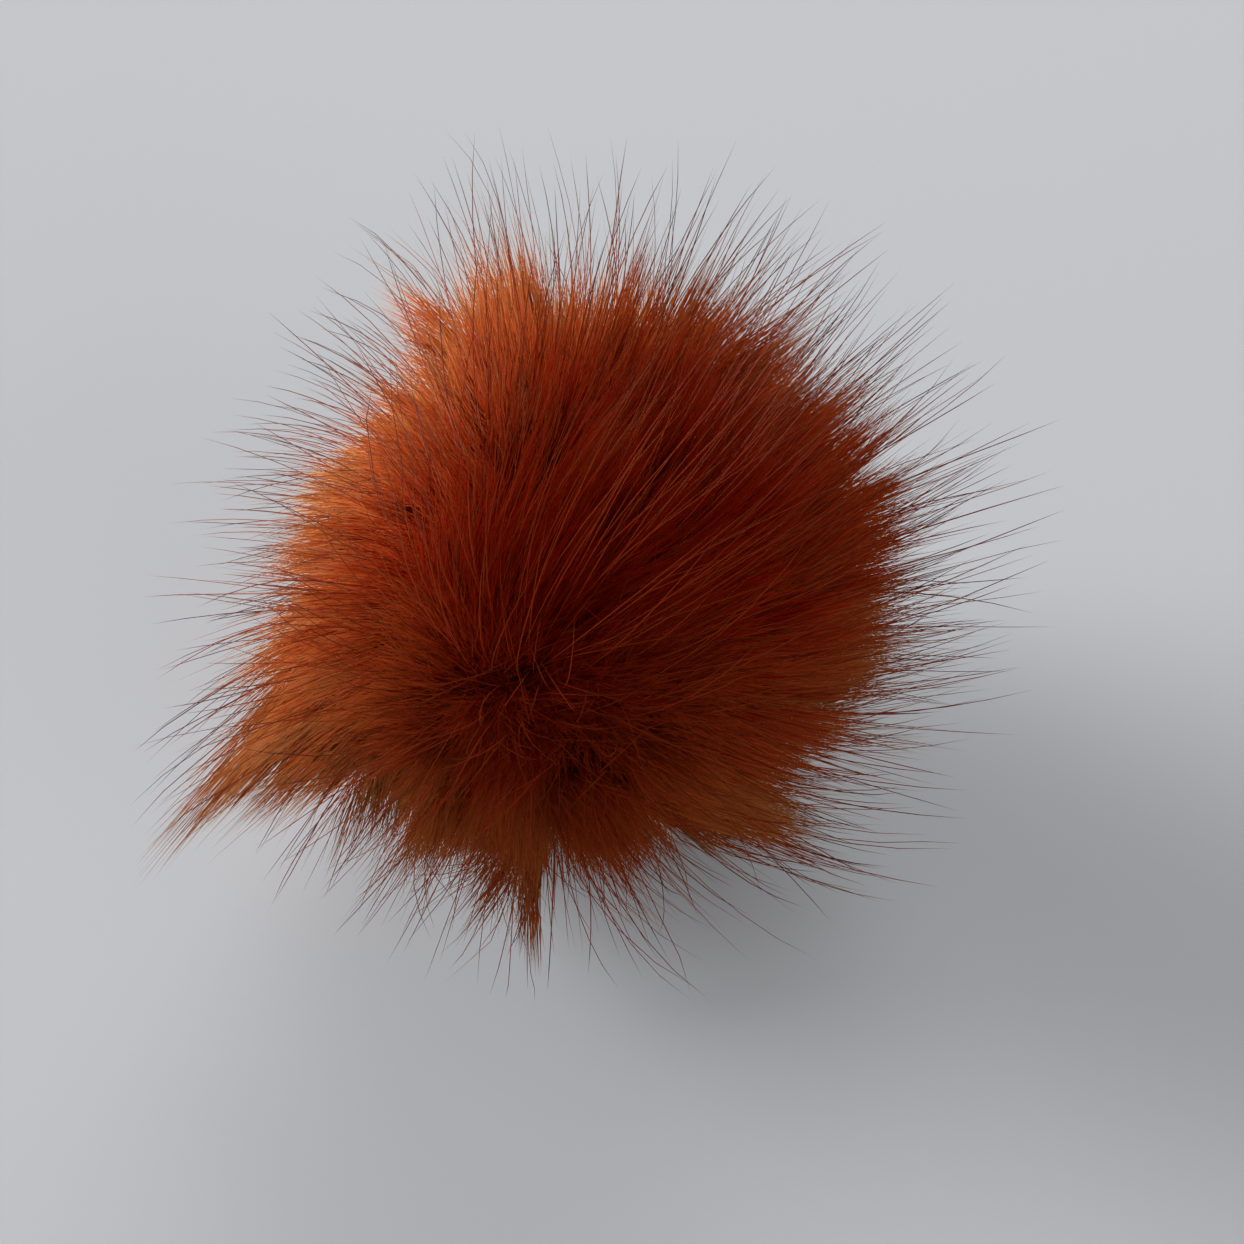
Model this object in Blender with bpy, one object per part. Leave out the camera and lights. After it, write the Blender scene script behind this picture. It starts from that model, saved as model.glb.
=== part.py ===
"""A long-pile fur pom pom lying on a flat surface, in metres, +Z up.

A disc of fur cloth is gathered round a little stuffing, so its pile stands out on every side. What holds the
pile is a lumpy ball, the backing. The pile is divided into locks: each is a tapering three-sided solid that
grows from one facet of the backing and stands apart from its neighbours beyond its root. The pile falls outwards
round one whorl at the front. Under the ball it is pressed into a flat foot, and the locks round the foot are short
and lie level on the surface.

The origin is the middle of the foot, on the surface. -Y is the front. The tufts are placed as they are seen
from the front, 48 degrees above the surface.
"""

import math
import random

import bmesh
import bpy
from mathutils import Vector, noise

# Driving dimensions.
PILE_RADIUS = 0.049  # middle of the ball to the edge of the dense pile
GUARD_RADIUS = 0.070  # middle of the ball to the tips of the longest guard hairs
BACKING_RADIUS = 0.030  # gathered and stuffed ball, with the roots of the pile
CENTRE_HEIGHT = 0.038  # middle of the ball above the surface
FOOT_RADIUS = 0.015  # pile pressed flat under the ball
FOOT_EDGE = math.radians(-62)  # latitude where the foot leaves the backing

# The backing's facets.
FOOT_SIDES = 9
FACET_POINTS = 146  # with the foot's, this makes 299 three-sided facets
LOWEST_POINTS = math.radians(-54)
POINT_JITTER = 0.035  # of the ball's radius
LUMP_HEIGHT = 0.05  # of the backing's radius
LUMPS_PER_RADIUS = 2.2

# The locks.
LOCK_RINGS = (  # share of the lock's length, and of the width of the cone that its facet spans
    {"along": 0.22, "width": 0.77},
    {"along": 0.48, "width": 0.53},
    {"along": 0.74, "width": 0.27},
)
SHORTEST_LOCK = 0.003  # past the dense pile
TIP_SWAY = 0.20  # how far a tip strays in its cone, as a share of a corner's weight
LONG_LOCK_POWER = 1.25  # over 1 makes more of the locks short
LEVEL_DEPTH = 0.012  # how far a lock may reach below the surface before it is laid level on it

# How the whole pile lies.
VIEW_HEIGHT = math.radians(48)
RIGHT = Vector((1.0, 0.0, 0.0))
UPWARD = Vector((0.0, math.sin(VIEW_HEIGHT), math.cos(VIEW_HEIGHT)))
FRONTWARD = Vector((0.0, -math.cos(VIEW_HEIGHT), math.sin(VIEW_HEIGHT)))
WHORL_HEIGHT = math.radians(20)
WHORL_SIDE = math.radians(-9)  # to the right of the front
WHORL_LEVEL = math.cos(WHORL_HEIGHT)
WHORL = Vector((WHORL_LEVEL * math.sin(WHORL_SIDE), -WHORL_LEVEL * math.cos(WHORL_SIDE), math.sin(WHORL_HEIGHT)))
COMB = 0.55  # how far the pile falls outwards round the whorl
NAP = Vector((0.005, 0.006, 0.003))  # how far the pile's lie carries the longest tips
SWEEP = Vector((0.0, -0.030, -0.004))  # how far the longest tips at the left are brushed round
DROOP = 0.003  # how far the longest level hairs sag
LEVELLING = 0.004  # height over which the pile bends level with the surface

# Tufts: clock is in degrees anticlockwise from the right, tilt is towards the front, spread is the tuft's half
# width in degrees, gather is how far its hairs draw together, longer is in metres, and sag is how far it hangs.
TUFTS = (
    {"clock": 14, "tilt": 8, "spread": 18, "gather": 0.30, "longer": 0.001, "sag": 0.000},
    {"clock": 41, "tilt": 5, "spread": 18, "gather": 0.25, "longer": 0.001, "sag": 0.000},
    {"clock": 66, "tilt": 4, "spread": 12, "gather": 0.30, "longer": -0.003, "sag": 0.000},
    {"clock": 84, "tilt": 8, "spread": 10, "gather": 0.00, "longer": -0.004, "sag": 0.000},
    {"clock": 98, "tilt": 10, "spread": 11, "gather": 0.30, "longer": 0.001, "sag": 0.000},
    {"clock": 120, "tilt": 8, "spread": 7, "gather": 0.50, "longer": 0.010, "sag": 0.000},
    {"clock": 138, "tilt": 8, "spread": 16, "gather": 0.20, "longer": -0.003, "sag": 0.000},
    {"clock": 164, "tilt": 12, "spread": 18, "gather": 0.20, "longer": -0.011, "sag": 0.001},
    {"clock": 200, "tilt": 12, "spread": 15, "gather": 0.45, "longer": 0.012, "sag": 0.008},
    {"clock": 226, "tilt": 22, "spread": 16, "gather": 0.40, "longer": -0.011, "sag": 0.000},
    {"clock": 261, "tilt": 20, "spread": 12, "gather": 0.45, "longer": 0.002, "sag": 0.002},
    {"clock": 285, "tilt": 16, "spread": 12, "gather": 0.00, "longer": -0.014, "sag": 0.000},
    {"clock": 272, "tilt": 10, "spread": 32, "gather": 0.00, "longer": -0.005, "sag": 0.000},
    {"clock": 306, "tilt": 16, "spread": 12, "gather": 0.40, "longer": 0.004, "sag": 0.000},
    {"clock": 324, "tilt": 12, "spread": 15, "gather": 0.00, "longer": -0.028, "sag": 0.000},
    {"clock": 344, "tilt": 10, "spread": 16, "gather": 0.35, "longer": 0.004, "sag": 0.000},
    {"clock": 70, "tilt": 62, "spread": 24, "gather": 0.10, "longer": 0.000, "sag": 0.000},
    {"clock": 200, "tilt": 50, "spread": 24, "gather": 0.10, "longer": 0.000, "sag": 0.002},
    {"clock": 325, "tilt": 52, "spread": 24, "gather": 0.10, "longer": 0.000, "sag": 0.000},
    {"clock": 60, "tilt": -45, "spread": 26, "gather": 0.28, "longer": 0.002, "sag": 0.000},
    {"clock": 130, "tilt": -50, "spread": 26, "gather": 0.28, "longer": 0.000, "sag": 0.000},
    {"clock": 10, "tilt": -40, "spread": 24, "gather": 0.28, "longer": 0.001, "sag": 0.002},
    {"clock": 180, "tilt": -35, "spread": 24, "gather": 0.28, "longer": 0.002, "sag": 0.003},
)

SEED = 11
RUST = (0.26, 0.045, 0.010, 1.0)
PILE_ROUGHNESS = 0.7
SHARP_EDGE = math.radians(50)


def clear_scene():
    for obj in list(bpy.data.objects):
        bpy.data.objects.remove(obj)


def fur_material():
    material = bpy.data.materials.new("rust_pile")
    material.use_nodes = True
    shader = material.node_tree.nodes["Principled BSDF"]
    shader.inputs["Base Color"].default_value = RUST
    shader.inputs["Roughness"].default_value = PILE_ROUGHNESS
    shader.inputs["Metallic"].default_value = 0.0
    return material


def on_unit_ball(turn, latitude):
    level = math.cos(latitude)
    return Vector((level * math.cos(turn), level * math.sin(turn), math.sin(latitude)))


def tuft_axis(tuft):
    """Unit vector from the middle of the ball along a tuft."""
    clock = math.radians(tuft["clock"])
    tilt = math.radians(tuft["tilt"])
    across = math.cos(clock) * RIGHT + math.sin(clock) * UPWARD
    return math.cos(tilt) * across + math.sin(tilt) * FRONTWARD


def nearness(direction, tuft):
    """1 on a tuft's axis, falling smoothly to 0 away from it."""
    angle = direction.angle(tuft_axis(tuft))
    return math.exp(-((angle / math.radians(tuft["spread"])) ** 2))


def facet_directions(chance):
    """Unit vectors of the backing's points: a ring round the foot, and the rest spread evenly with a jitter."""
    ring = [on_unit_ball(math.tau * k / FOOT_SIDES, FOOT_EDGE) for k in range(FOOT_SIDES)]
    golden_turn = math.pi * (3 - math.sqrt(5))
    rest = []
    for k in range(FACET_POINTS):
        height = 1 - (k + 0.5) / FACET_POINTS * (1 - math.sin(LOWEST_POINTS))
        point = on_unit_ball(golden_turn * k, math.asin(height))
        jitter = Vector([chance.uniform(-POINT_JITTER, POINT_JITTER) for _ in range(3)])
        rest.append((point + jitter).normalized())
    return ring + rest


def faceted_ball(directions):
    """A closed ball of three-sided facets over the directions, with one many-sided facet under it for the foot."""
    ball = bmesh.new()
    for direction in directions:
        ball.verts.new(direction)
    bmesh.ops.convex_hull(ball, input=ball.verts[:])
    foot_level = math.sin(FOOT_EDGE) + 0.001
    under = [face for face in ball.faces if all(vert.co.z < foot_level for vert in face.verts)]
    bmesh.ops.dissolve_faces(ball, faces=under)
    bmesh.ops.recalc_face_normals(ball, faces=ball.faces[:])
    return ball


def lock_reach(direction, chance):
    """Distance from the middle of the ball to a lock's tip, before the pile is laid."""
    reach = PILE_RADIUS + SHORTEST_LOCK
    reach += (GUARD_RADIUS - reach) * chance.random() ** LONG_LOCK_POWER
    reach += sum(tuft["longer"] * nearness(direction, tuft) for tuft in TUFTS)
    if direction.z < 0:
        reach = min(reach, (CENTRE_HEIGHT + LEVEL_DEPTH) / -direction.z)
    return reach


def grow_lock(ball, facet, chance):
    """Extrudes one facet into a straight tapering lock that stays inside the facet's own cone."""
    corners = [vert.co.normalized() for vert in facet.verts]
    root = sum(corners, Vector()) / 3
    weights = [1 / 3 + chance.uniform(-TIP_SWAY, TIP_SWAY) for _ in corners]
    tip = sum((weight * corner for weight, corner in zip(weights, corners)), Vector()) / sum(weights)
    reach = lock_reach(root.normalized(), chance)
    for ring in LOCK_RINGS:
        facet = bmesh.ops.extrude_discrete_faces(ball, faces=[facet])["faces"][0]
        radius = BACKING_RADIUS + (reach - BACKING_RADIUS) * ring["along"]
        middle = root.lerp(tip, ring["along"])
        for vert, corner in zip(facet.verts, corners):
            vert.co = radius * (middle + ring["width"] * (corner - root)).normalized()
    point = bmesh.ops.poke(ball, faces=[facet])["verts"][0]
    point.co = reach * tip.normalized()


def grow_foot(ball, facet):
    """Extrudes the lowest facet down to the surface, as pile that the ball has pressed flat."""
    facet = bmesh.ops.extrude_discrete_faces(ball, faces=[facet])["faces"][0]
    for vert in facet.verts:
        outward = Vector((vert.co.x, vert.co.y, 0)).normalized()
        vert.co = FOOT_RADIUS * outward - Vector((0, 0, CENTRE_HEIGHT))
    return list(facet.verts)


def lay_pile(offset):
    """Where a point of the straight pile lies in the end, both measured from the middle of the ball.

    It draws tufts together, combs the pile outwards round its whorl, carries it along its nap, brushes its left
    side round, lets it sag, and bends what would reach the surface level with it. Each step is smooth and folds nothing over, so locks that
    stand apart stay apart.
    """
    radius = offset.length
    grown = max(0.0, (radius - BACKING_RADIUS) / (GUARD_RADIUS - BACKING_RADIUS))
    held = min(grown, 1.0)
    laid = offset.copy()
    sag = DROOP
    for tuft in TUFTS:
        near = nearness(laid.normalized(), tuft)
        laid = laid.lerp(radius * tuft_axis(tuft), tuft["gather"] * near * held)
        sag += tuft["sag"] * near
    facing = max(0.0, laid.normalized().dot(WHORL))
    laid = radius * (laid - COMB * held * facing * radius * WHORL).normalized()
    leftness = max(0.0, -laid.normalized().x)
    levelness = 1 - abs(laid.normalized().z)
    laid += NAP * grown + SWEEP * leftness**1.5 * grown**1.5
    laid.z -= sag * levelness * grown**1.2
    height = (laid.z + CENTRE_HEIGHT) / LEVELLING
    laid.z = LEVELLING * math.log1p(math.exp(height)) - CENTRE_HEIGHT
    return laid


def build_fur_ball():
    chance = random.Random(SEED)
    ball = faceted_ball(facet_directions(chance))
    facets = sorted(ball.faces, key=lambda face: len(face.verts))
    backing_points = list(ball.verts)
    for vert in backing_points:
        lump = noise.noise(LUMPS_PER_RADIUS * vert.co)
        vert.co = vert.co * BACKING_RADIUS * (1 + LUMP_HEIGHT * lump)
    for facet in facets[:-1]:
        grow_lock(ball, facet, chance)
    foot_points = grow_foot(ball, facets[-1])
    middle = Vector((0, 0, CENTRE_HEIGHT))
    for vert in ball.verts:
        if vert not in foot_points:
            vert.co = lay_pile(vert.co)
        vert.co += middle
    for vert in foot_points:
        vert.co.z = 0
    mesh = bpy.data.meshes.new("fur_ball")
    ball.to_mesh(mesh)
    ball.free()
    mesh.shade_smooth()
    mesh.set_sharp_from_angle(angle=SHARP_EDGE)
    mesh.materials.append(fur_material())
    fur_ball = bpy.data.objects.new("fur_ball", mesh)
    bpy.context.scene.collection.objects.link(fur_ball)


clear_scene()
build_fur_ball()
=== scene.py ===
import math

import bpy
import numpy as np
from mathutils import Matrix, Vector, kdtree


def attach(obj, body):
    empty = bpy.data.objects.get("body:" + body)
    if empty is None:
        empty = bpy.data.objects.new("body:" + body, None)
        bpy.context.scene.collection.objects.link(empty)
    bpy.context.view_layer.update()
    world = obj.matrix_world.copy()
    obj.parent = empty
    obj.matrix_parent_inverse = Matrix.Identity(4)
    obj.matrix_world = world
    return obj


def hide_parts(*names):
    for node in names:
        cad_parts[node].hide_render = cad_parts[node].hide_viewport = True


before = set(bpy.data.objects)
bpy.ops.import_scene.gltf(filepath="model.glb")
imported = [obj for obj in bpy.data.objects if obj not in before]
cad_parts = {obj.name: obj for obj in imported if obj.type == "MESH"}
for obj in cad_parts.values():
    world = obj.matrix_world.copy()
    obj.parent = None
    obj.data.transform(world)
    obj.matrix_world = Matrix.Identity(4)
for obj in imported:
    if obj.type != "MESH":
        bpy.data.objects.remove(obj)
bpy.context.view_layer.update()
bpy.ops.object.select_all(action="DESELECT")
print("frame loaded:", sorted(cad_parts))

# How the pile lies, with the same sizes, tufts and steps as the solid, and finer points at its edge.
pile = {
    "middle": (0.0, 0.0, 0.038),  # middle of the ball, above the surface
    "backing": 0.030,  # radius of the gathered and stuffed ball
    "guard": 0.070,  # radius of the longest guard hairs
    "furthest": 0.077,  # the radius that a long tuft's guard hairs come near and don't pass
    "shortening": 0.004,  # how gently they stop there
    "viewHeight": math.radians(48),  # of the camera, above the surface
    "whorlHeight": math.radians(20),  # of the whorl, above the ball's middle
    "whorlSide": math.radians(-9),  # of the whorl, measured to the right from the front
    "nap": (0.005, 0.006, 0.003),  # how far the pile's lie carries the longest tips
    "comb": 0.55,  # how far the pile falls outwards round the whorl
    "sweep": (0.0, -0.030, -0.004),  # how far the longest tips at the left are brushed round
    "sweepGrowth": 1.5,  # how much more the long hairs are swept than the short ones
    "droop": 0.003,  # how far the longest level hairs sag
    "droopGrowth": 1.2,  # how much more the long hairs sag than the short ones
    "levelling": 0.004,  # height over which the pile bends level with the surface
    "levelDepth": 0.012,  # how far a hair may reach below the surface before it is laid level
    "leastDown": 0.01,  # hairs that point less far down than this keep clear of that limit
}

# clock is in degrees anticlockwise from the right, tilt is in degrees towards the front, and spread is half
# a tuft's width in degrees. gather is how far its hairs draw together, longer is in metres, and sag is how
# far it hangs, in metres.
tufts = [
    dict(clock=14, tilt=8, spread=18, gather=0.30, longer=0.001, sag=0.000),
    dict(clock=41, tilt=5, spread=18, gather=0.25, longer=0.001, sag=0.000),
    dict(clock=66, tilt=4, spread=12, gather=0.30, longer=-0.003, sag=0.000),
    dict(clock=84, tilt=8, spread=10, gather=0.00, longer=-0.004, sag=0.000),
    dict(clock=98, tilt=10, spread=11, gather=0.30, longer=0.001, sag=0.000),
    dict(clock=120, tilt=8, spread=7, gather=0.50, longer=0.010, sag=0.000),
    dict(clock=138, tilt=8, spread=16, gather=0.20, longer=-0.003, sag=0.000),
    dict(clock=164, tilt=12, spread=18, gather=0.20, longer=-0.011, sag=0.001),
    dict(clock=200, tilt=12, spread=15, gather=0.45, longer=0.012, sag=0.008),
    dict(clock=226, tilt=22, spread=16, gather=0.40, longer=-0.011, sag=0.000),
    dict(clock=261, tilt=20, spread=12, gather=0.45, longer=0.002, sag=0.002),
    dict(clock=285, tilt=16, spread=12, gather=0.00, longer=-0.014, sag=0.000),
    dict(clock=272, tilt=10, spread=32, gather=0.00, longer=-0.005, sag=0.000),
    dict(clock=306, tilt=16, spread=12, gather=0.40, longer=0.004, sag=0.000),
    dict(clock=324, tilt=12, spread=15, gather=0.00, longer=-0.028, sag=0.000),
    dict(clock=344, tilt=10, spread=16, gather=0.35, longer=0.004, sag=0.000),
    dict(clock=70, tilt=62, spread=24, gather=0.10, longer=0.000, sag=0.000),
    dict(clock=200, tilt=50, spread=24, gather=0.10, longer=0.000, sag=0.002),
    dict(clock=325, tilt=52, spread=24, gather=0.10, longer=0.000, sag=0.000),
    dict(clock=60, tilt=-45, spread=26, gather=0.28, longer=0.002, sag=0.000),
    dict(clock=130, tilt=-50, spread=26, gather=0.28, longer=0.000, sag=0.000),
    dict(clock=10, tilt=-40, spread=24, gather=0.28, longer=0.001, sag=0.002),
    dict(clock=180, tilt=-35, spread=24, gather=0.28, longer=0.002, sag=0.003),
]

# the points that the pile's edge falls into, finer than the solid's tufts
edgePoints = [
    dict(clock=14, tilt=8, spread=7, gather=0.0, longer=-0.006),
    dict(clock=50, tilt=5, spread=6, gather=0.0, longer=-0.009),
    dict(clock=83, tilt=6, spread=6, gather=0.0, longer=-0.006),
    dict(clock=101, tilt=4, spread=6, gather=0.3, longer=0.010),
    dict(clock=114, tilt=4, spread=5, gather=0.3, longer=0.008),
    dict(clock=124, tilt=5, spread=5, gather=0.0, longer=-0.012),
    dict(clock=131, tilt=5, spread=7, gather=0.0, longer=-0.006),
    dict(clock=150, tilt=6, spread=6, gather=0.2, longer=0.002),
    dict(clock=160, tilt=8, spread=4, gather=0.5, longer=0.010),
    dict(clock=172, tilt=8, spread=5, gather=0.0, longer=-0.003),
    dict(clock=182, tilt=8, spread=5, gather=0.2, longer=0.005),
    dict(clock=193, tilt=8, spread=6, gather=0.2, longer=0.014),
    dict(clock=211, tilt=14, spread=6, gather=0.3, longer=-0.004),
    dict(clock=223, tilt=16, spread=4, gather=0.0, longer=-0.006),
    dict(clock=233, tilt=16, spread=6, gather=0.5, longer=0.009),
    dict(clock=247, tilt=16, spread=5, gather=0.5, longer=0.004),
    dict(clock=260, tilt=18, spread=5, gather=0.7, longer=0.018),
    dict(clock=275, tilt=15, spread=4, gather=0.6, longer=-0.002),
    dict(clock=285, tilt=14, spread=7, gather=0.0, longer=-0.016),
    dict(clock=295, tilt=15, spread=4, gather=0.7, longer=0.008),
    dict(clock=304, tilt=14, spread=5, gather=0.7, longer=0.012),
    dict(clock=318, tilt=12, spread=5, gather=0.7, longer=0.006),
    dict(clock=333, tilt=10, spread=5, gather=0.7, longer=0.006),
    dict(clock=346, tilt=10, spread=5, gather=0.4, longer=-0.001),
    dict(clock=357, tilt=8, spread=8, gather=0.2, longer=-0.008),
    dict(clock=22, tilt=8, spread=5, gather=0.4, longer=0.001),
]
tufts += [dict(sag=0.0, **point) for point in edgePoints]

# how much longer the pile is, in millimetres, at every tenth degree round its edge
edgeLonger = (
    0.2, -2.5, 1.0, -1.4, 0.5, -6.0, -1.8, 4.0, -3.5, -1.8, 0.8, 1.5,
    -8.0, -2.0, 3.0, -0.5, 3.5, -6.0, 4.5, 3.0, -6.5, 0.8, -3.5, 1.2,
    2.0, -3.5, -0.5, -5.0, -14.0, 4.0, -2.5, -3.0, 0.5, 0.0, -1.7, -2.2,
)
edgeShape = {"tilt": 8, "spread": 6, "tall": 26}  # tall is half its width towards the front and back
edge = [
    dict(clock=10 * tenth, longer=0.001 * longer, **edgeShape)
    for tenth, longer in enumerate(edgeLonger)
]

middle = np.array(pile["middle"])
nap = np.array(pile["nap"])
sweep = np.array(pile["sweep"])
acrossView = np.array((1.0, 0.0, 0.0))
upView = np.array((0.0, math.sin(pile["viewHeight"]), math.cos(pile["viewHeight"])))
towardsView = np.array((0.0, -math.cos(pile["viewHeight"]), math.sin(pile["viewHeight"])))
whorlLevel = math.cos(pile["whorlHeight"])
whorl = np.array((
    whorlLevel * math.sin(pile["whorlSide"]),
    -whorlLevel * math.cos(pile["whorlSide"]),
    math.sin(pile["whorlHeight"]),
))


def unit(vectors):
    return vectors / np.linalg.norm(vectors, axis=-1, keepdims=True)


def tuftAxis(tuft):
    clock, tilt = math.radians(tuft["clock"]), math.radians(tuft["tilt"])
    across = math.cos(clock) * acrossView + math.sin(clock) * upView
    return math.cos(tilt) * across + math.sin(tilt) * towardsView


def nearness(aims, tuft):
    # 1 on a tuft's axis, falling smoothly to 0 away from it
    axis = tuftAxis(tuft)
    away = np.arccos(np.clip(aims @ axis, -1, 1))
    if "tall" not in tuft:
        return np.exp(-((away / math.radians(tuft["spread"])) ** 2))
    beside = np.arcsin(np.clip(aims @ unit(np.cross(towardsView, axis)), -1, 1))
    uneven = (away**2 - beside**2) / math.radians(tuft["tall"]) ** 2
    return np.exp(-((beside / math.radians(tuft["spread"])) ** 2) - uneven)


def pileReach(aims, radius):
    # how far hairs of this length reach from the ball's middle before the pile is laid
    reach = radius + sum(tuft["longer"] * nearness(aims, tuft) for tuft in tufts + edge)
    spare = (pile["furthest"] - reach) / pile["shortening"]
    reach = pile["furthest"] - pile["shortening"] * np.logaddexp(0, spare)
    down = np.maximum(-aims[:, 2], pile["leastDown"])
    return np.minimum(reach, (middle[2] + pile["levelDepth"]) / down)


def layPile(points, swept=1.0):
    # points, measured from the ball's middle, are gathered in tufts, combed, swept, sagged and levelled
    radius = np.linalg.norm(points, axis=-1, keepdims=True)
    grown = np.maximum(0, (radius - pile["backing"]) / (pile["guard"] - pile["backing"]))
    held = np.minimum(grown, 1)
    laid = points.copy()
    sag = np.full(radius.shape, pile["droop"])
    for tuft in tufts:
        near = nearness(unit(laid), tuft)[..., None]
        laid = laid + tuft["gather"] * near * held * (radius * tuftAxis(tuft) - laid)
        sag += tuft["sag"] * near
    facing = np.maximum(0, unit(laid) @ whorl)[..., None]
    laid = radius * unit(laid - pile["comb"] * held * facing * radius * whorl)
    leftness = np.maximum(0, -unit(laid)[..., :1])
    levelness = 1 - np.abs(unit(laid)[..., 2:])
    growth = pile["sweepGrowth"]
    laid = laid + nap * grown + swept * sweep * leftness**growth * grown**growth
    laid[..., 2:] -= sag * levelness * grown ** pile["droopGrowth"]
    height = (laid[..., 2] + middle[2]) / pile["levelling"]
    laid[..., 2] = pile["levelling"] * np.logaddexp(0, height) - middle[2]
    return laid


# The pile's flow: locks, the wisps in them, and fields that make neighbouring hairs bend alike. Radii and
# leans are on a ball of radius 1.
flow = {
    "crowd": 0.8,  # how far the roots crowd towards the whorl
    "tousle": 2.3,  # how much more hairs stray at the whorl than elsewhere
    "tousleNear": 8,  # how close to the whorl that stays
    "bend": 1.4,  # how late along its length a hair leans
    "locks": 280,
    "lockJitter": 0.05,
    "lockRadius": 0.12,
    "lockGather": 0.28,  # how far a lock's hairs draw to its middle
    "lowGather": 0.65,  # how much further they do where the pile falls into separate locks
    "lockLean": 0.02,  # how far a lock leans by chance
    "lowLean": 3.0,  # how many times more separate locks do
    "lockPoint": 0.003,  # how much longer a lock is in its middle, in metres
    "lowPoint": 2.0,  # how many times more separate locks are
    "lockCommon": 0.7,  # how far from a lock's middle its hairs have the common length
    "lockUneven": 0.0024,  # how much locks differ in length, in metres
    "lowUneven": 1.0,  # how many times more separate locks do
    "leftLocks": 0.12,  # how far the pile at the left falls into separate locks
    "lockShade": 0.07,  # how much locks differ in shade
    "wisps": 1300,
    "wispJitter": 0.02,
    "wispRadius": 0.06,
    "wispUneven": 0.0016,
    "waves": 12,  # how many waves make a field
    "waveRange": (0.7, 1.4),
    "broad": 5,  # how fine each field is
    "fine": 14,
    "curl": 9,
    "fineShare": 0.4,
}


def evenAims(count, chance, jitter):
    # directions spread evenly over a ball on a spiral, then moved a little by chance
    step = np.arange(count)
    turn = step * math.pi * (3 - math.sqrt(5))
    height = 1 - 2 * (step + 0.5) / count
    level = np.sqrt(1 - height**2)
    aims = np.stack((level * np.cos(turn), level * np.sin(turn), height), axis=-1)
    return unit(aims + jitter * chance.standard_normal((count, 3)))


def crowdedAims(count, chance, jitter):
    # more hairs start near the whorl, where the pile falls apart
    aims = evenAims(count, chance, jitter)
    facing = np.maximum(0, aims @ whorl)[:, None]
    return unit(aims + flow["crowd"] * facing * whorl)


def tousled(aims, chance):
    # how each hair strays from its neighbours, most where the pile falls apart at the whorl
    facing = np.maximum(0, aims @ whorl)[:, None]
    return (1 + flow["tousle"] * facing ** flow["tousleNear"]) * chance.standard_normal(aims.shape)


def softField(frequency, chance):
    # a smooth field of vectors over the ball
    waves = flow["waves"]
    ways = unit(chance.standard_normal((waves, 3))) * frequency
    ways = ways * chance.uniform(*flow["waveRange"], (waves, 1))
    swings = chance.standard_normal((waves, 3)) / math.sqrt(waves)
    starts = chance.uniform(0, 2 * math.pi, waves)
    return lambda aims: np.sin(aims @ ways.T + starts) @ swings


def nearest(aims, centres):
    # the number of the centre that each aim lies nearest to
    tree = kdtree.KDTree(len(centres))
    for index, centre in enumerate(centres):
        tree.insert(Vector(centre), index)
    tree.balance()
    return np.array([tree.find(Vector(aim))[1] for aim in aims])


def lockedness(aims):
    # how far the pile falls into separate locks: most low on the ball, and some at its left
    low = np.maximum(0, -2 * aims @ upView - 1)  # from 0 at 30 degrees below level to 1 straight below
    left = np.maximum(0, -2 * aims @ acrossView - 1)
    return np.maximum(low, flow["leftLocks"] * left)


chance = np.random.default_rng(7)
lockCentres = evenAims(flow["locks"], chance, flow["lockJitter"])
wispCentres = evenAims(flow["wisps"], chance, flow["wispJitter"])
lockOfWisp = nearest(wispCentres, lockCentres)
locked = lockedness(lockCentres)
lockLonger = chance.normal(0, flow["lockUneven"], flow["locks"]) * (1 + flow["lowUneven"] * locked)
lockShade = chance.normal(0, flow["lockShade"], flow["locks"])
lockLean = chance.normal(0, flow["lockLean"], (flow["locks"], 3)) * (1 + flow["lowLean"] * locked[:, None])
lockPoint = flow["lockPoint"] * (1 + flow["lowPoint"] * locked)
offCentre = np.linalg.norm(wispCentres - lockCentres[lockOfWisp], axis=-1) / flow["lockRadius"]
wispLonger = lockLonger[lockOfWisp] + lockPoint[lockOfWisp] * (flow["lockCommon"] - offCentre)
wispLonger += chance.normal(0, flow["wispUneven"], flow["wisps"])
broadField = softField(flow["broad"], chance)
fineField = softField(flow["fine"], chance)
curlField = softField(flow["curl"], chance)
print("pile laid in", flow["locks"], "locks and", flow["wisps"], "wisps")


def wispLean(wisps, sway):
    # how all that grows in a wisp leans: towards its lock's middle, with its lock, and with the fields
    aims = wispCentres[wisps]
    home = lockOfWisp[wisps]
    gather = flow["lockGather"] + flow["lowGather"] * locked[home, None]
    lean = gather * (lockCentres[home] - aims) + lockLean[home]
    return lean + sway * (broadField(aims) + flow["fineShare"] * fineField(aims))


# Materials. On every strand v runs from root to tip, and u is the strand's shade, from deep to bright: its
# own tone plus painted light and shade by the way it faces.
def colourRamp(nodes, links, stops, factor):
    node = nodes.new("ShaderNodeValToRGB")
    ramp = node.color_ramp
    ramp.elements[0].position, ramp.elements[1].position = stops[0][0], stops[-1][0]
    for position, colour in stops[1:-1]:
        ramp.elements.new(position)
    for element, (position, colour) in zip(ramp.elements, stops):
        element.color = (*colour, 1)
    links.new(factor, node.inputs["Fac"])
    return node.outputs["Color"]


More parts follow.
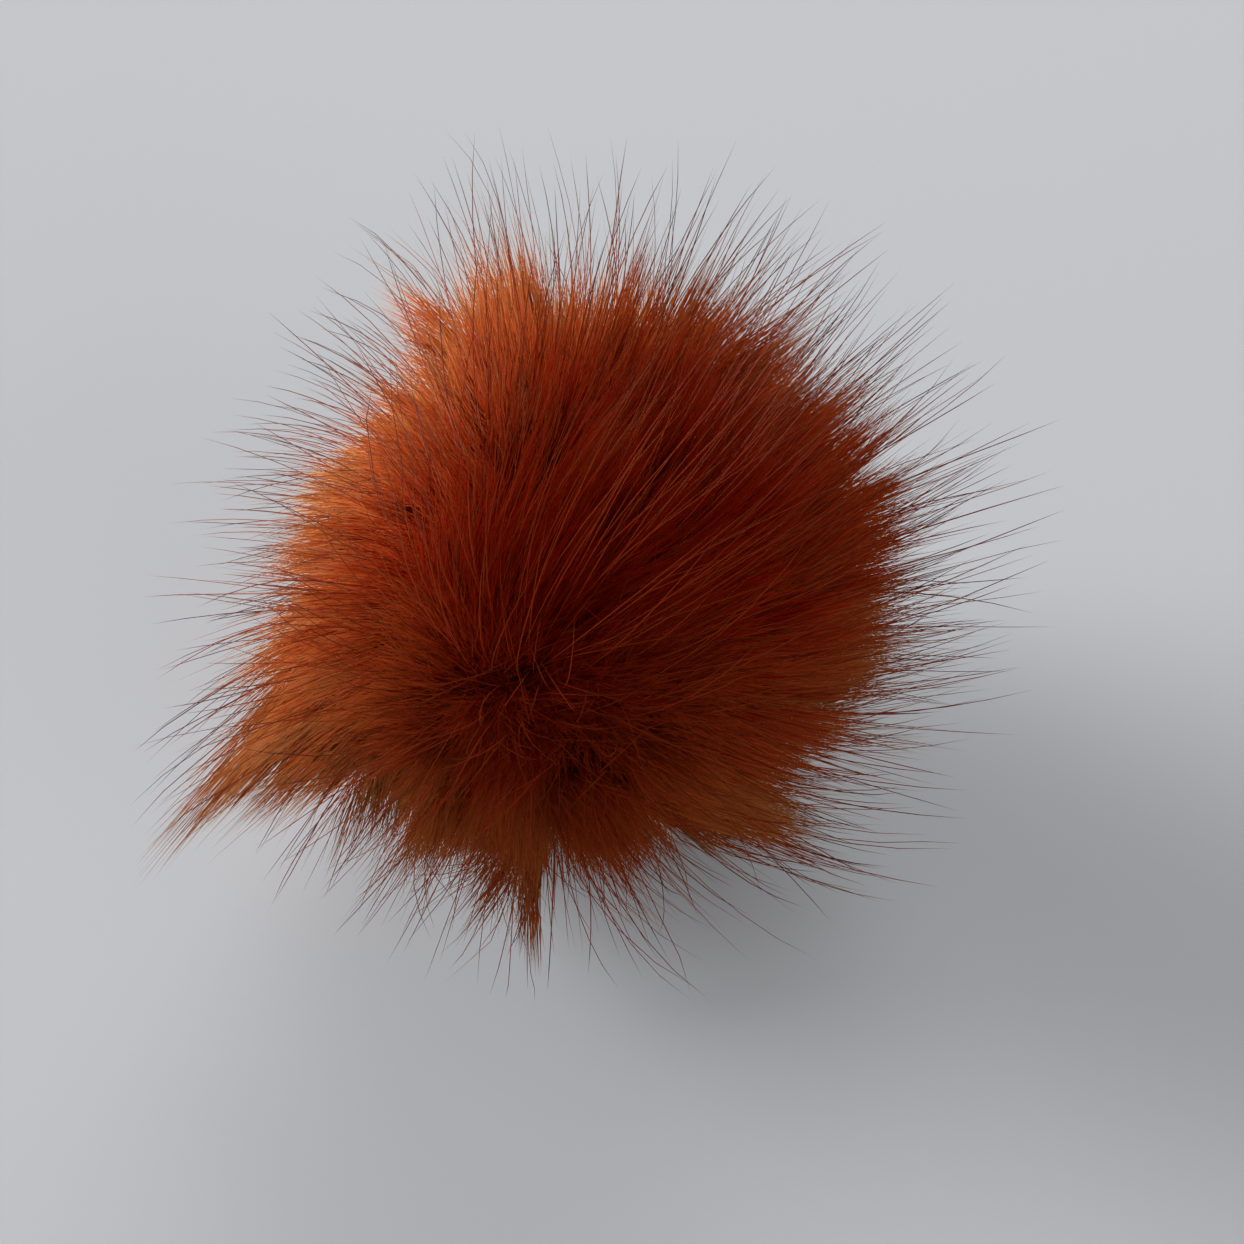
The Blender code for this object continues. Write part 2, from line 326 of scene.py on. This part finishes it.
def hairMaterial(name, look):
    # two colour ramps from root to tip, a shaded and a lit one, mixed by each hair's shade, with some light
    # let through
    material = bpy.data.materials.new(name)
    material.use_nodes = True
    nodes, links = material.node_tree.nodes, material.node_tree.links
    nodes.clear()
    place = nodes.new("ShaderNodeUVMap")
    place.uv_map = "OFBake"
    split = nodes.new("ShaderNodeSeparateXYZ")
    links.new(place.outputs["UV"], split.inputs["Vector"])
    shader = nodes.new("ShaderNodeBsdfPrincipled")
    shade = split.outputs["X"]
    if "streaks" in look:
        shade = hairStreaks(nodes, links, place, shader, look["streaks"])
    mix = nodes.new("ShaderNodeMix")
    mix.data_type = "RGBA"
    links.new(shade, mix.inputs["Factor"])
    links.new(colourRamp(nodes, links, look["deep"], split.outputs["Y"]), mix.inputs["A"])
    links.new(colourRamp(nodes, links, look["bright"], split.outputs["Y"]), mix.inputs["B"])
    colour = mix.outputs["Result"]
    links.new(colour, shader.inputs["Base Color"])
    shader.inputs["Roughness"].default_value = look["roughness"]
    shader.inputs["Specular IOR Level"].default_value = look["specular"]
    shader.inputs["Specular Tint"].default_value = (*look["tint"], 1)
    through = nodes.new("ShaderNodeBsdfTranslucent")
    links.new(colour, through.inputs["Color"])
    both = nodes.new("ShaderNodeMixShader")
    both.inputs["Fac"].default_value = look["through"]
    links.new(shader.outputs["BSDF"], both.inputs[1])
    links.new(through.outputs["BSDF"], both.inputs[2])
    out = nodes.new("ShaderNodeOutputMaterial")
    links.new(both.outputs["Shader"], out.inputs["Surface"])
    return material


def hairStreaks(nodes, links, place, shader, streaks):
    # single hairs drawn along a lock, as shade and as low relief
    stretch = nodes.new("ShaderNodeMapping")
    stretch.inputs["Scale"].default_value = (streaks["across"], streaks["along"], 1)
    links.new(place.outputs["UV"], stretch.inputs["Vector"])
    grain = nodes.new("ShaderNodeTexNoise")
    grain.inputs["Scale"].default_value = 1.0
    grain.inputs["Detail"].default_value = streaks["detail"]
    grain.inputs["Roughness"].default_value = streaks["roughness"]
    links.new(stretch.outputs["Vector"], grain.inputs["Vector"])
    spread = nodes.new("ShaderNodeMapRange")
    spread.inputs["From Min"].default_value, spread.inputs["From Max"].default_value = streaks["contrast"]
    links.new(grain.outputs["Fac"], spread.inputs["Value"])
    relief = nodes.new("ShaderNodeBump")
    relief.inputs["Strength"].default_value = streaks["strength"]
    relief.inputs["Distance"].default_value = streaks["depth"]
    links.new(spread.outputs["Result"], relief.inputs["Height"])
    links.new(relief.outputs["Normal"], shader.inputs["Normal"])
    return spread.outputs["Result"]


# deep and bright are shaded and lit copies of the rust colour as well as its range of tones; both darken
# towards the root as painted shade deep in the pile
rustLook = {
    "deep": (
        (0.00, (0.035, 0.001, 0.001)), (0.55, (0.130, 0.003, 0.001)),
        (0.82, (0.285, 0.009, 0.001)), (1.00, (0.380, 0.055, 0.014)),
    ),
    "bright": (
        (0.00, (0.065, 0.003, 0.001)), (0.55, (0.230, 0.020, 0.003)),
        (0.84, (0.360, 0.105, 0.024)), (1.00, (0.470, 0.280, 0.125)),
    ),
    "roughness": 0.5,
    "specular": 0.0,
    "tint": (1.0, 0.6, 0.2),
    "through": 0.3,  # how much of the light comes through the hairs
}
fineLook = {**rustLook, "through": 0.0}
# the deep ramp's nearly black tips are painted shade and the bright ramp's tan tips painted light
longLook = {
    **rustLook,
    "deep": (
        (0.00, (0.035, 0.001, 0.001)), (0.50, (0.130, 0.003, 0.001)),
        (0.75, (0.150, 0.016, 0.004)), (1.00, (0.050, 0.018, 0.010)),
    ),
    "bright": (
        (0.00, (0.065, 0.003, 0.001)), (0.50, (0.220, 0.030, 0.005)),
        (0.78, (0.350, 0.120, 0.028)), (1.00, (0.320, 0.165, 0.070)),
    ),
}
lockLook = {
    **rustLook,
    "through": 0.25,
    "streaks": {
        "across": 220.0,
        "along": 3.0,
        "detail": 3.0,
        "roughness": 0.7,
        "contrast": (0.3, 0.7),
        "strength": 0.6,
        "depth": 0.0004,
    },
}
# the dark tips are the guard hairs' own; the bright ramp's lighter tips are painted light
tippedLook = {
    "deep": (
        (0.00, (0.120, 0.006, 0.001)), (0.55, (0.160, 0.012, 0.003)), (0.78, (0.016, 0.007, 0.006)),
    ),
    "bright": (
        (0.00, (0.200, 0.014, 0.002)), (0.60, (0.280, 0.030, 0.006)), (0.88, (0.220, 0.030, 0.007)),
    ),
    "roughness": 0.35,
    "specular": 0.08,
    "tint": (1.0, 0.65, 0.35),
    "through": 0.25,
}
rustMaterial = hairMaterial("rustPile", rustLook)
lockMaterial = hairMaterial("rustLocks", lockLook)
fineMaterial = hairMaterial("fineHair", fineLook)
longMaterial = hairMaterial("longHair", longLook)
tippedMaterial = hairMaterial("darkTippedHair", tippedLook)
print("materials made")


def strandFaces(rings, sides):
    # corners and sizes of one strand's faces, and how far round and along it each corner lies
    side = np.arange(sides)
    after = (side + 1) % sides
    starts = sides * np.arange(rings - 1)[:, None]
    quads = np.stack((starts + side, starts + after, starts + sides + after, starts + sides + side), -1)
    last = sides * (rings - 1)
    tips = np.stack((last + side, last + after, np.full(sides, last + sides)), -1)
    root = side[::-1]
    corners = np.concatenate((quads.ravel(), tips.ravel(), root))
    sizes = np.concatenate((np.full(quads.size // 4, 4), np.full(sides, 3), [sides]))
    quadRound = np.tile(np.stack((side, side + 1, side + 1, side), -1).ravel(), rings - 1)
    tipRound = np.stack((side, side + 1, side + 0.5), -1).ravel()
    around = np.concatenate((quadRound, tipRound, root)) / sides
    along = np.append(np.repeat(np.arange(rings), sides), rings)[corners] / rings
    return corners, sizes, around, along


strand = {
    "mapWidth": 0.008,  # width of a hair's strip of the map
    "mapMargin": 0.005,
    "skew": (0.3, 0.1, 0.2),  # turns a hair's own direction into one that crosses it
}


def strandMesh(
    name, paths, widths, shades, material,
    sides=3, mapWidth=strand["mapWidth"], reach=(0, 1), outward=0.0, casts=True,
):
    # one closed tapering tube along each row of paths, all joined in one mesh; reach is how far from root to
    # tip its colours run
    count, rings = paths.shape[0], paths.shape[1] - 1
    along = unit(np.gradient(paths, axis=1))
    skew = np.roll(along[:, :1], 1, axis=-1) + strand["skew"]
    side = np.cross(along[:, :1], skew)
    side = unit(side - (side * along).sum(-1, keepdims=True) * along)
    other = np.cross(along, side)
    turn = 2 * math.pi * np.arange(sides) / sides
    spoke = np.cos(turn)[:, None] * side[:, :, None] + np.sin(turn)[:, None] * other[:, :, None]
    rim = paths[:, :rings, None] + widths[:, :rings, None, None] * spoke[:, :rings]
    points = np.concatenate((rim.reshape(count, rings * sides, 3), paths[:, rings:]), axis=1)

    corners, sizes, around, height = strandFaces(rings, sides)
    mesh = bpy.data.meshes.new(name)
    mesh.vertices.add(points.shape[0] * points.shape[1])
    mesh.vertices.foreach_set("co", points.astype(np.float32).ravel())
    allCorners = (corners + points.shape[1] * np.arange(count)[:, None]).ravel()
    allSizes = np.tile(sizes, count)
    mesh.loops.add(len(allCorners))
    mesh.loops.foreach_set("vertex_index", allCorners.astype(np.int32))
    mesh.polygons.add(len(allSizes))
    mesh.polygons.foreach_set("loop_start", (np.cumsum(allSizes) - allSizes).astype(np.int32))
    mesh.update(calc_edges=True)
    u = shades[:, None] * (1 - mapWidth) + mapWidth * around
    v = np.broadcast_to(reach[0] + (reach[1] - reach[0]) * height, u.shape)
    places = strand["mapMargin"] + (1 - 2 * strand["mapMargin"]) * np.stack((u, v), -1)
    mesh.uv_layers.new(name="OFBake").data.foreach_set("uv", places.astype(np.float32).ravel())
    mesh.shade_smooth()
    if outward:
        # each strand's normals lean towards the ball's, so that the pile shades as one soft surface
        own = np.empty(len(mesh.vertices) * 3, np.float32)
        mesh.vertices.foreach_get("normal", own)
        spread = unit(points.reshape(-1, 3) - middle)
        softened = unit((1 - outward) * own.reshape(-1, 3) + outward * spread)
        mesh.normals_split_custom_set_from_vertices(softened)
    mesh.materials.append(material)
    piece = bpy.data.objects.new(name, mesh)
    bpy.context.scene.collection.objects.link(piece)
    if not casts:
        piece.visible_shadow = False
        piece.visible_diffuse = False
    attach(piece, "root")
    print(name, "strands:", count, "triangles:", count * (2 * sides * rings - 2))
    return piece


# Painted light and shade: how much lighter or darker the pile's colour is painted by the way it faces.
shading = {
    "low": 0.58,  # painted light: how much lighter it is low on the ball, at both sides, and at its upper rim
    "sides": 0.22,
    "rim": 0.22,
    "rimNear": 4,  # how close to the rim that stays
    "whorl": 0.5,  # painted shade: how much darker it is a little above the whorl
    "whorlRise": 0.3,
    "whorlNear": 3,
    "front": 0.62,  # painted shade: how much darker it is where it faces away from the window light
    "frontAim": (0.45, 0.35, 0.8),  # that way, to the right, up and near in the photograph's view
    "whorlTips": 0.40,  # painted shade: how far short of their tips' colour the hairs at the whorl stay
    "whorlTipsNear": 8,
    "frontTips": 0.08,  # and those that face the front
}
frontAcross, frontUp, frontTowards = shading["frontAim"]
front = unit(frontAcross * acrossView + frontUp * upView + frontTowards * towardsView)
dusk = unit(whorl + shading["whorlRise"] * upView)


def paintedPileShade(aims, dimming):
    # painted light and shade: how much lighter or darker than its own shade a hair's colour is painted by
    # the way it faces
    lit = shading["low"] * np.maximum(0, -aims @ upView) + shading["sides"] * aims[:, 0] ** 2
    lit += shading["rim"] * np.maximum(0, aims @ upView) ** shading["rimNear"]
    dim = shading["whorl"] * np.maximum(0, aims @ dusk) ** shading["whorlNear"]
    dim = dim + shading["front"] * np.maximum(0, aims @ front) ** 2
    return lit - dimming * dim


def tipColour(aims, paintedTipShade):
    # painted shade: how far along its colours, from root to tip, a hair's own tip comes, kept short at the
    # whorl and where it faces the front
    short = shading["whorlTips"] * np.maximum(0, aims @ whorl) ** shading["whorlTipsNear"]
    short = short + shading["frontTips"] * np.maximum(0, aims @ front) ** 2
    return 1 - paintedTipShade * short


def combHairs(style, chance):
    # each hair's path from its root in the pile to its tip, its shade with painted light and shade added,
    # and its tip's colour
    count = style["count"]
    aims = crowdedAims(count, chance, style["jitter"])
    wisps = nearest(aims, wispCentres)
    centres = wispCentres[wisps]
    stray = chance.random(count) < style["strays"]
    t = np.linspace(style["from"], 1, style["steps"] + 1)[None, :, None]
    gather = np.where(stray, 0, style["gather"] * chance.uniform(*style["gatherRange"], count))
    loose = style["loose"] * np.where(stray, style["strayLooser"], 1)[:, None] * tousled(aims, chance)
    lean = loose + gather[:, None] * (centres - aims) + wispLean(wisps, style["sway"])
    curl = style["curl"] * (curlField(centres) + style["ownCurl"] * chance.standard_normal((count, 3)))
    bent = lean[:, None] * t ** flow["bend"]
    towards = unit(aims[:, None] + bent + curl[:, None] * np.sin(style["curlTurns"] * math.pi * t))
    longest = style["longest"] - style["shortest"]
    length = style["shortest"] + longest * chance.random(count) ** style["power"]
    shades = style["shade"] + style["shadeSpread"] * chance.standard_normal(count)
    # painted light and shade by the way each hair faces, added to its own tone and its lock's
    shades += lockShade[lockOfWisp[wisps]] + paintedPileShade(aims, style["dimming"])
    middling = 1 - np.linalg.norm(aims - centres, axis=-1) / flow["wispRadius"]
    length = length + wispLonger[wisps] + style["point"] * middling
    radius = pile["backing"] + (pileReach(aims, length) - pile["backing"])[:, None, None] * t
    paths = layPile(radius * towards, style["swept"]) + middle
    return paths, np.clip(shades, 0, 1), tipColour(aims, style["paintedTipShade"])


def growHairs(name, style, material, chance, parts=1):
    # all hairs of one style, dealt out by chance to one mesh or more
    paths, shades, tips = combHairs(style, chance)
    count, steps = style["count"], style["steps"]
    profile = np.interp(np.linspace(0, 1, steps + 1), style["taperAt"], style["taper"])
    widths = style["width"] / 2 * profile * chance.uniform(*style["widthRange"], count)[:, None]
    order = chance.permutation(count)
    for part, chosen in enumerate(np.array_split(order, parts)):
        partName = name if parts == 1 else f"{name}{part + 1}"
        strandMesh(
            partName, paths[chosen], widths[chosen], shades[chosen], material,
            reach=(style["from"], tips[chosen, None]), outward=style["outward"],
            casts=part < style["casting"],
        )


# The ball inside, which shows only as darkness between the hairs.
inner = {
    "radius": 0.034,
    "subdivisions": 5,
    "lumps": 0.003,  # height of its lumps
    "lumpSize": 0.012,
    "smoothing": 0.5,
    "smoothings": 3,
    "deep": (0.020, 0.001, 0.001, 1),
    "bright": (0.080, 0.005, 0.001, 1),
    "roughness": 0.9,
    "specular": 0.0,
    "grain": 700.0,
    "grainDetail": 4.0,
    "relief": 0.8,
    "reliefDepth": 0.0005,
}


def rootMaterial(name, look):
    # short matted hairs near the backing
    material = bpy.data.materials.new(name)
    material.use_nodes = True
    nodes, links = material.node_tree.nodes, material.node_tree.links
    shader = nodes["Principled BSDF"]
    shader.inputs["Roughness"].default_value = look["roughness"]
    shader.inputs["Specular IOR Level"].default_value = look["specular"]
    place = nodes.new("ShaderNodeTexCoord")
    grain = nodes.new("ShaderNodeTexNoise")
    grain.inputs["Scale"].default_value = look["grain"]
    grain.inputs["Detail"].default_value = look["grainDetail"]
    links.new(place.outputs["Object"], grain.inputs["Vector"])
    mix = nodes.new("ShaderNodeMix")
    mix.data_type = "RGBA"
    mix.inputs["A"].default_value, mix.inputs["B"].default_value = look["deep"], look["bright"]
    links.new(grain.outputs["Fac"], mix.inputs["Factor"])
    links.new(mix.outputs["Result"], shader.inputs["Base Color"])
    relief = nodes.new("ShaderNodeBump")
    relief.inputs["Strength"].default_value = look["relief"]
    relief.inputs["Distance"].default_value = look["reliefDepth"]
    links.new(grain.outputs["Fac"], relief.inputs["Height"])
    links.new(relief.outputs["Normal"], shader.inputs["Normal"])
    return material


bpy.ops.mesh.primitive_ico_sphere_add(subdivisions=inner["subdivisions"], radius=inner["radius"])
ball = bpy.context.object
ball.name = ball.data.name = "innerPile"
clouds = bpy.data.textures.new("innerLumps", "CLOUDS")
clouds.noise_scale = inner["lumpSize"]
lumps = ball.modifiers.new("lumps", "DISPLACE")
lumps.texture = clouds
lumps.strength = inner["lumps"]
bpy.ops.object.modifier_apply(modifier=lumps.name)
bpy.ops.object.mode_set(mode="EDIT")
bpy.ops.mesh.select_all(action="SELECT")
bpy.ops.mesh.vertices_smooth(factor=inner["smoothing"], repeat=inner["smoothings"])
bpy.ops.object.mode_set(mode="OBJECT")
bpy.ops.object.shade_smooth()
places = np.empty(len(ball.data.vertices) * 3, np.float32)
ball.data.vertices.foreach_get("co", places)
places = layPile(places.reshape(-1, 3).astype(float)) + middle
ball.data.vertices.foreach_set("co", places.astype(np.float32).ravel())
ball.data.materials.append(rootMaterial("mattedRoots", inner))
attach(ball, "root")
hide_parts("fur_ball")
bpy.ops.object.select_all(action="DESELECT")
print("inner ball made")

# The undercoat's body: broad fluted locks that single hairs are drawn on.
locks = {
    "count": 2400,
    "steps": 5,
    "shortest": 0.037,
    "longest": 0.0435,
    "jitter": 0.02,
    "gather": 0.35,
    "sway": 0.10,
    "loose": 0.02,
    "width": 0.0032,
    "widthRange": (0.8, 1.2),
    "sides": 4,
    "mapWidth": 0.12,
    "tipColour": 0.75,  # how far along its colours a lock ends
    "outward": 0.5,
    "taperAt": (0, 0.35, 0.7, 0.85, 1),
    "taper": (0.9, 1.0, 0.6, 0.25, 0.0),
}


def growLocks(name, style, material, chance):
    # broad tapering locks, grown and laid as the hairs are
    count = style["count"]
    aims = crowdedAims(count, chance, style["jitter"])
    wisps = nearest(aims, wispCentres)
    t = np.linspace(0, 1, style["steps"] + 1)[None, :, None]
    lean = style["gather"] * (wispCentres[wisps] - aims) + wispLean(wisps, style["sway"])
    lean = lean + style["loose"] * tousled(aims, chance)
    towards = unit(aims[:, None] + lean[:, None] * t ** flow["bend"])
    length = wispLonger[wisps] + chance.uniform(style["shortest"], style["longest"], count)
    reach = pileReach(aims, length)
    radius = pile["backing"] + (reach - pile["backing"])[:, None, None] * t
    paths = layPile(radius * towards) + middle
    profile = np.interp(t[0, :, 0], style["taperAt"], style["taper"])
    widths = style["width"] / 2 * profile * chance.uniform(*style["widthRange"], count)[:, None]
    strandMesh(
        name, paths, widths, chance.random(count), material,
        sides=style["sides"], mapWidth=style["mapWidth"], reach=(0, style["tipColour"]),
        outward=style["outward"],
    )


growLocks("locks", locks, lockMaterial, chance)

# The undercoat's own hairs: a body of curved ones, and more of them that are straight and fill it.
undercoat = {
    "count": 34000,
    "steps": 2,
    "from": 0.5,  # where it starts, between the backing and its tip, because its root is hidden
    "shortest": 0.037,
    "longest": 0.0490,
    "power": 0.95,  # under 1 makes more of them long
    "point": 0.0030,  # how much longer a wisp is in its middle
    "jitter": 0.006,
    "gather": 0.35,  # how far its hairs draw to their wisp's middle
    "gatherRange": (0.6, 1.2),
    "strays": 0.04,  # share of hairs that keep out of their wisps
    "strayLooser": 4,
    "sway": 0.10,  # how far the flow's fields bend it
    "loose": 0.018,  # how far each hair leans by itself
    "curl": 0.012,
    "ownCurl": 0.5,
    "curlTurns": 1.3,
    "width": 0.00017,
    "widthRange": (0.7, 1.25),
    "outward": 0.75,  # how far its normals lean towards the ball's
    "casting": 2,  # how many of its meshes cast shadows
    "taperAt": (0, 0.5, 0.8, 1),
    "taper": (1.0, 1.0, 0.6, 0.1),
    "shade": 0.62,
    "shadeSpread": 0.14,
    "dimming": 1.0,  # how far it takes the pile's painted light and shade
    "paintedTipShade": 1.0,  # how far painted shade keeps its tips short of their colour
    "swept": 1.0,  # how far it is swept round at the left
}
growHairs("undercoat", undercoat, rustMaterial, chance, parts=2)

fineHairs = {
    **undercoat,
    "count": 62000,
    "steps": 1,
    "from": 0.6,
    "longest": 0.0505,
    "power": 0.9,
    "width": 0.00020,
    "casting": 0,
    "shade": 0.64,
    "shadeSpread": 0.17,
}
growHairs("fineHairs", fineHairs, fineMaterial, chance, parts=2)

# Longer hairs that soften the undercoat's edge.
longHairs = {
    **undercoat,
    "count": 9000,
    "from": 0.4,
    "shortest": 0.043,
    "longest": 0.060,
    "power": 1.5,
    "jitter": 0.010,
    "strays": 0.03,
    "loose": 0.015,
    "width": 0.00013,
    "outward": 0.6,
    "casting": 0,
    "shade": 0.55,
    "shadeSpread": 0.2,
    "swept": 0.8,
}
growHairs("longHairs", longHairs, longMaterial, chance)

# Sparse guard hairs, the longest of all, with dark tips.
guardHairs = {
    **undercoat,
    "count": 1900,
    "steps": 6,
    "from": 0.2,
    "shortest": 0.053,
    "longest": 0.0700,
    "power": 0.8,
    "jitter": 0.02,
    "gather": 0.5,
    "strays": 0.03,
    "sway": 0.12,
    "loose": 0.02,
    "curl": 0.008,
    "width": 0.00016,
    "outward": 0.6,
    "casting": 0,
    "taper": (1.0, 1.0, 0.8, 0.45),
    "shade": 0.12,
    "shadeSpread": 0.2,
    "dimming": -0.9,  # painted light: lighter where the pile's painted shade behind it is darker, so that only its edge shows dark tips
    "paintedTipShade": 0.0,
    "swept": 0.5,
}
growHairs("guardHairs", guardHairs, tippedMaterial, chance)

# Floor, light and camera.
studio = {
    "floor": (0.47, 0.48, 0.50, 1),
    "floorSize": 4,
    "floorRoughness": 0.8,
    "floorGlow": 0.08,
    "sky": (0.95, 0.97, 1.0, 1),
    "skyStrength": 0.19,
    "sunHeight": 0.5,
}

# aim is the way from the ball to each light
suns = [
    dict(name="windowLight", aim=(-0.90, 0.38, 0.12), size=math.radians(45), strength=9.0),
    dict(name="backLight", aim=(0.10, 0.95, 0.22), size=math.radians(45), strength=3.0),
    dict(name="fillLight", aim=(0.76, -0.64, 0.08), size=math.radians(60), strength=1.2),
]
bpy.ops.mesh.primitive_plane_add(size=studio["floorSize"])
floor = bpy.context.object
floor.name = "floor"
floorMaterial = bpy.data.materials.new("paleFloor")
floorMaterial.use_nodes = True
floorShader = floorMaterial.node_tree.nodes["Principled BSDF"]
floorShader.inputs["Base Color"].default_value = studio["floor"]
floorShader.inputs["Roughness"].default_value = studio["floorRoughness"]
floorShader.inputs["Emission Color"].default_value = studio["sky"]
floorShader.inputs["Emission Strength"].default_value = studio["floorGlow"]
floor.data.materials.append(floorMaterial)

world = bpy.data.worlds.new("studio")
bpy.context.scene.world = world
world.use_nodes = True
background = world.node_tree.nodes["Background"]
background.inputs["Color"].default_value = studio["sky"]
background.inputs["Strength"].default_value = studio["skyStrength"]

for row in suns:
    bpy.ops.object.light_add(type="SUN", location=(0, 0, studio["sunHeight"]))
    sun = bpy.context.object
    sun.name = row["name"]
    sun.data.angle = row["size"]
    sun.data.energy = row["strength"]
    sun.rotation_euler = Vector(row["aim"]).to_track_quat("Z", "Y").to_euler()

view = {
    "distance": 0.341,
    "fieldOfView": math.radians(31.6),
    "right": 0.0078,  # how far the camera's aim lies beside and above the ball's middle
    "up": -0.0019,
    "nearest": 0.01,
}
aim = middle + view["right"] * acrossView + view["up"] * upView
place = aim + view["distance"] * towardsView
bpy.ops.object.camera_add(location=place, rotation=(math.pi / 2 - pile["viewHeight"], 0, 0))
camera = bpy.context.object
camera.data.angle = view["fieldOfView"]
camera.data.clip_start = view["nearest"]
bpy.context.scene.camera = camera
bpy.context.scene.view_settings.view_transform = "Standard"
print("floor, lights and camera placed")
